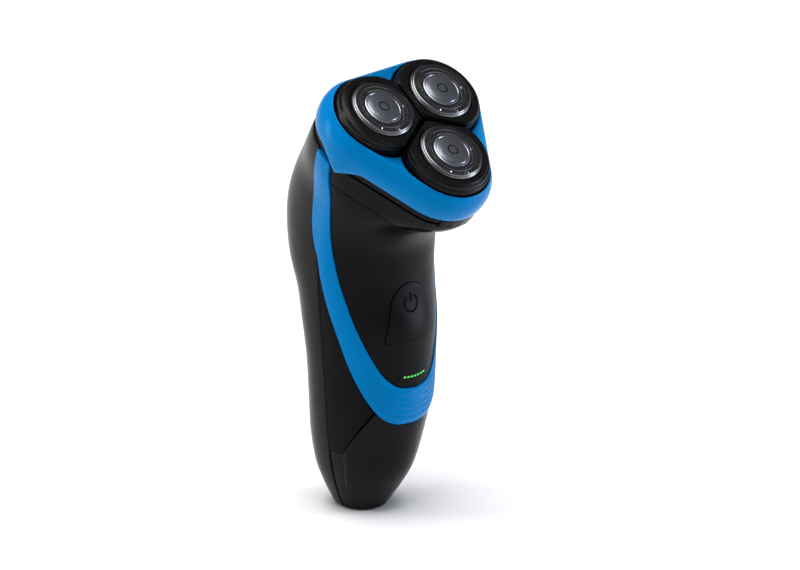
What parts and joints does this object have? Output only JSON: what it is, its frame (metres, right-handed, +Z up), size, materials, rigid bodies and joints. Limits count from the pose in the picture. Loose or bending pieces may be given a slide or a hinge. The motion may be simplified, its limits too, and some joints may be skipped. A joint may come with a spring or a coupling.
{
  "type": "electric shaver",
  "caption": "Cordless wet and dry rotary shaver with three flexing heads on a flip-open shaving unit, a geared drive, an arched power button and a pop-up trimmer.",
  "frame": {"origin": "centre of the flat bottom face", "axes": "+Z up along the handle, front with the power button facing -Y, +X to the viewer's right from the front"},
  "size_m": [0.0688, 0.0825, 0.1658],
  "materials": {
    "black_gloss": "polished",
    "grip_rubber": "satin",
    "blue_plastic": "polished",
    "black_satin": "satin",
    "grey_nylon": "satin",
    "motor_steel": "polished",
    "brass": "polished",
    "cell_wrap": "polished",
    "nickel": "polished",
    "board_green": "polished",
    "light_green": "polished",
    "smoked_lens": "polished",
    "seal_rubber": "satin",
    "zinc_steel": "polished",
    "spring_steel": "polished",
    "blade_steel": "polished",
    "lobe_black": "polished",
    "cap_steel": "polished",
    "dome_silver": "polished",
    "spindle_nylon": "satin",
    "gear_nylon": "satin"
  },
  "bodies": {
    "handle": {"rear_shell": "black_gloss", "lower_shell": "black_gloss", "side_grip_left": "grip_rubber", "side_grip_right": "grip_rubber", "blue_band": "blue_plastic", "front_panel": "black_satin", "neck_collar": "black_gloss", "top_plate": "black_satin", "chassis": "grey_nylon", "motor_plate": "grey_nylon", "motor": "motor_steel", "cell": "cell_wrap", "cell_tabs": "nickel", "circuit_board": "board_green", "power_switch": "black_satin", "charge_lights": "light_green", "display_lens": "smoked_lens", "base_cap": "black_satin", "charging_socket": "black_satin", "charge_pins": "nickel", "neck_seal": "seal_rubber", "screws": "zinc_steel", "hinge_pin": "zinc_steel", "release_spring": "spring_steel"},
    "release_button": {"release_button": "black_gloss"},
    "power_button": {"power_button": "black_satin"},
    "trimmer_slide": {"trimmer_slide": "grip_rubber"},
    "trimmer": {"trimmer_arm": "black_gloss", "trimmer_comb": "blade_steel", "trimmer_pin": "zinc_steel"},
    "trimmer_blade": {"trimmer_blade": "blade_steel"},
    "shaving_unit": {"head_ring": "blue_plastic", "retaining_frame": "grey_nylon"},
    "lock_knob": {"lock_knob": "grey_nylon"},
    "motor_shaft": {"pinion": "brass"},
    "lobe_left": {"lobe_left": "lobe_black", "cap_left": "cap_steel", "dome_left": "dome_silver"},
    "cutter_left": {"cutter_left": "blade_steel"},
    "spindle_left": {"spindle_left": "spindle_nylon", "gear_left": "gear_nylon", "spring_left": "spring_steel"},
    "lobe_right": {"lobe_right": "lobe_black", "cap_right": "cap_steel", "dome_right": "dome_silver"},
    "cutter_right": {"cutter_right": "blade_steel"},
    "spindle_right": {"spindle_right": "spindle_nylon", "gear_right": "gear_nylon", "spring_right": "spring_steel"},
    "lobe_front": {"lobe_front": "lobe_black", "cap_front": "cap_steel", "dome_front": "dome_silver"},
    "cutter_front": {"cutter_front": "blade_steel"},
    "spindle_front": {"spindle_front": "spindle_nylon", "gear_front": "gear_nylon", "spring_front": "spring_steel"}
  },
  "joints": [
    {"name": "unit_open", "type": "hinge", "parent": "handle", "child": "shaving_unit", "pos_m": [0, -0.00016, 0.15541], "axis": [-1, 0, 0], "range_deg": [0, 95]},
    {"name": "release_press", "type": "slide", "parent": "handle", "child": "release_button", "axis": [0, 0.809, 0.5878], "range_m": [0, 0.0012], "stiffness_N_per_m": 600, "deforming": ["release_spring"]},
    {"name": "power_press", "type": "slide", "parent": "handle", "child": "power_button", "axis": [0, 1, 0], "range_m": [0, 0.0006], "stiffness_N_per_m": 1000},
    {"name": "trimmer_unlock", "type": "slide", "parent": "handle", "child": "trimmer_slide", "axis": [0, 0, -1], "range_m": [0, 0.003], "stiffness_N_per_m": 200},
    {"name": "trimmer_swing", "type": "hinge", "parent": "handle", "child": "trimmer", "pos_m": [0, 0.0199, 0.1274], "axis": [1, 0, 0], "range_deg": [0, 90]},
    {"name": "trimmer_cut", "type": "slide", "parent": "trimmer", "child": "trimmer_blade", "axis": [1, 0, 0], "range_m": [-0.0008, 0.0008]},
    {"name": "lock_turn", "type": "hinge", "parent": "shaving_unit", "child": "lock_knob", "pos_m": [0, -0.02487, 0.14327], "axis": [0, -0.5878, 0.809], "range_deg": [0, 90]},
    {"name": "tilt_left", "type": "hinge", "parent": "shaving_unit", "child": "lobe_left", "pos_m": [-0.01407, -0.02241, 0.15371], "axis": [-0.5, -0.7006, -0.509], "range_deg": [-3, 3], "stiffness_Nm_per_rad": 0.4},
    {"name": "cutter_spin_left", "type": "hinge", "parent": "lobe_left", "child": "cutter_left", "pos_m": [-0.01407, -0.023, 0.15452], "axis": [0, -0.5878, 0.809], "continuous": true},
    {"name": "spindle_spin_left", "type": "hinge", "parent": "handle", "child": "spindle_left", "pos_m": [-0.01407, -0.01418, 0.14239], "axis": [0, -0.5878, 0.809], "continuous": true},
    {"name": "tilt_right", "type": "hinge", "parent": "shaving_unit", "child": "lobe_right", "pos_m": [0.01407, -0.02241, 0.15371], "axis": [-0.5, 0.7006, 0.509], "range_deg": [-3, 3], "stiffness_Nm_per_rad": 0.4},
    {"name": "cutter_spin_right", "type": "hinge", "parent": "lobe_right", "child": "cutter_right", "pos_m": [0.01407, -0.023, 0.15452], "axis": [0, -0.5878, 0.809], "continuous": true},
    {"name": "spindle_spin_right", "type": "hinge", "parent": "handle", "child": "spindle_right", "pos_m": [0.01407, -0.01418, 0.14239], "axis": [0, -0.5878, 0.809], "continuous": true},
    {"name": "tilt_front", "type": "hinge", "parent": "shaving_unit", "child": "lobe_front", "pos_m": [0, -0.04213, 0.13938], "axis": [1, 0, 0], "range_deg": [-3, 3], "stiffness_Nm_per_rad": 0.4},
    {"name": "cutter_spin_front", "type": "hinge", "parent": "lobe_front", "child": "cutter_front", "pos_m": [0, -0.04272, 0.14019], "axis": [0, -0.5878, 0.809], "continuous": true},
    {"name": "spindle_spin_front", "type": "hinge", "parent": "handle", "child": "spindle_front", "pos_m": [0, -0.0339, 0.12806], "axis": [0, -0.5878, 0.809], "continuous": true},
    {"name": "motor_spin", "type": "hinge", "parent": "handle", "child": "motor_shaft", "pos_m": [0, -0.02075, 0.13761], "axis": [0, -0.5878, 0.809], "continuous": true}
  ],
  "couplings": [
    {"joint": "motor_spin", "follows": "spindle_spin_front", "ratio": -2.0952},
    {"joint": "spindle_spin_left", "follows": "spindle_spin_front", "ratio": 1},
    {"joint": "cutter_spin_left", "follows": "spindle_spin_front", "ratio": 1},
    {"joint": "spindle_spin_right", "follows": "spindle_spin_front", "ratio": 1},
    {"joint": "cutter_spin_right", "follows": "spindle_spin_front", "ratio": 1},
    {"joint": "cutter_spin_front", "follows": "spindle_spin_front", "ratio": 1}
  ]
}
